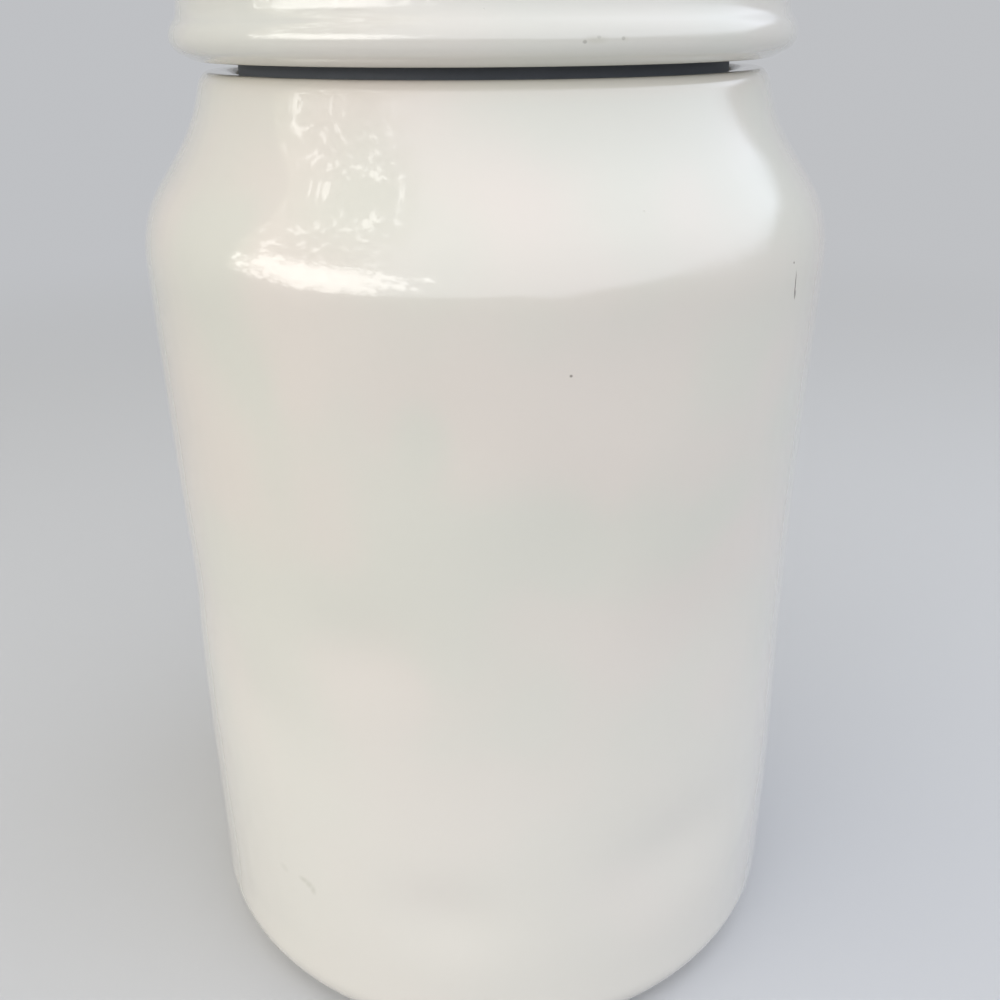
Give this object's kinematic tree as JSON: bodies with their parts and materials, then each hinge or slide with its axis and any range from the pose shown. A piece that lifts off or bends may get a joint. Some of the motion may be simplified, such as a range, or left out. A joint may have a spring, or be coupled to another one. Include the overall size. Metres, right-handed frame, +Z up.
{
  "type": "ceramic canister",
  "caption": "Round glazed ceramic storage canister with a sloping shoulder and a lift-off cap-shaped lid on a grey silicone seal, for keeping dry food.",
  "frame": {"origin": "centre of the foot ring, in the plane that the canister stands on", "axes": "+Z up along the axis of the jar and lid; the piece is round, and +Y points away from the picture's camera"},
  "size_m": [0.167, 0.167, 0.2561],
  "materials": {
    "jar_glaze": "glossy off-white glaze, bare clay on the foot ring",
    "lid_glaze": "glossy off-white glaze",
    "seal_silicone": "matt slate-grey silicone"
  },
  "bodies": {
    "jar": {"canister_body": "jar_glaze"},
    "lid_and_seal": {"lid": "lid_glaze", "seal_ring": "seal_silicone"}
  },
  "joints": [
    {"name": "lid_lift", "type": "slide", "parent": "jar", "child": "lid_and_seal", "axis": [0, 0, 1], "range_m": [0, 0.15]}
  ]
}
